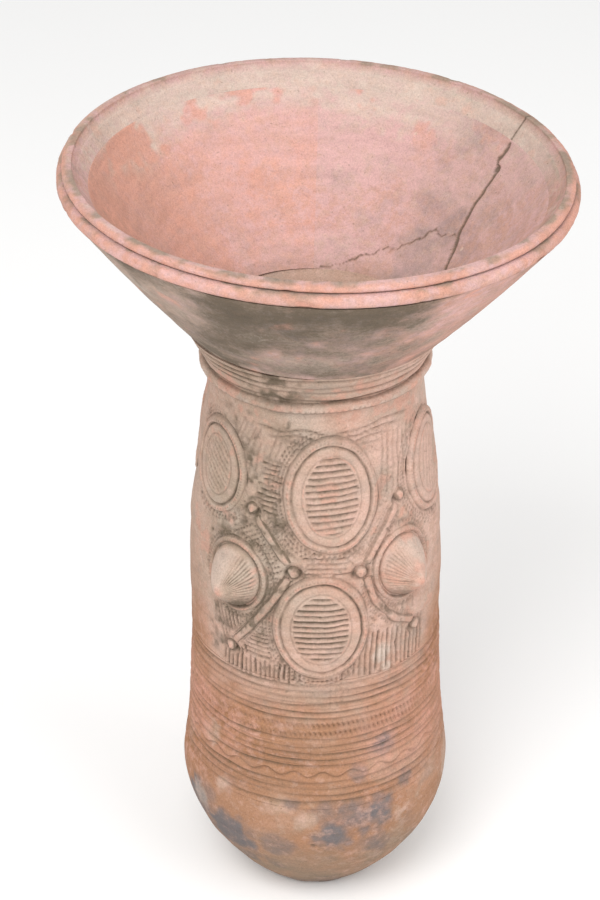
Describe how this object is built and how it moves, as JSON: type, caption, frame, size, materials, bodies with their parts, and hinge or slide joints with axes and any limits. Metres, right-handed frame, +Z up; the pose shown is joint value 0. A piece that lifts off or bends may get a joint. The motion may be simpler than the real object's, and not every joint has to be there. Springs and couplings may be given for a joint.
{
  "type": "goblet drum body",
  "caption": "Hand-built unglazed clay goblet drum body: wide funnel mouth, grooved neck, ornamented barrel, grooved belt and a round-bottomed base on a flat foot.",
  "frame": {"origin": "centre of the flat foot's underside", "axes": "+Z up along the drum, from foot to mouth; -Y towards the front panel's middle; +X towards the side that the mouth leans to"},
  "size_m": [0.2998, 0.3, 0.5052],
  "materials": {
    "base_clay": "unglazed, orange-tan with grey fire clouds",
    "body_clay": "unglazed, beige-pink with dark soil in the recesses",
    "mouth_clay": "unglazed, pink terracotta",
    "rim_clay": "unglazed, pink with worn orange edges",
    "ornament_clay": "unglazed, beige-pink, combed"
  },
  "bodies": {
    "root": {"base_bowl": "base_clay", "grooved_belt": "base_clay", "barrel": "body_clay", "neck_ring": "body_clay", "neck_coil": "body_clay", "funnel_bowl": "mouth_clay", "rim_band": "rim_clay", "rim_lip": "rim_clay", "front_medallion_middle": "ornament_clay", "front_medallion_left": "ornament_clay", "front_medallion_right": "ornament_clay", "front_medallion_low": "ornament_clay", "front_cone_left": "ornament_clay", "front_cone_right": "ornament_clay", "front_pellet_left_top": "ornament_clay", "front_pellet_left_inner": "ornament_clay", "front_pellet_left_bottom": "ornament_clay", "front_pellet_right_top": "ornament_clay", "front_pellet_right_inner": "ornament_clay", "front_pellet_right_bottom": "ornament_clay", "front_ridge_left_upper": "ornament_clay", "front_ridge_left_lower": "ornament_clay", "front_ridge_right_upper": "ornament_clay", "front_ridge_right_lower": "ornament_clay", "back_medallion_middle": "ornament_clay", "back_medallion_left": "ornament_clay", "back_medallion_right": "ornament_clay", "back_medallion_low": "ornament_clay", "back_cone_left": "ornament_clay", "back_cone_right": "ornament_clay", "back_pellet_left_top": "ornament_clay", "back_pellet_left_inner": "ornament_clay", "back_pellet_left_bottom": "ornament_clay", "back_pellet_right_top": "ornament_clay", "back_pellet_right_inner": "ornament_clay", "back_pellet_right_bottom": "ornament_clay", "back_ridge_left_upper": "ornament_clay", "back_ridge_left_lower": "ornament_clay", "back_ridge_right_upper": "ornament_clay", "back_ridge_right_lower": "ornament_clay"}
  },
  "joints": []
}
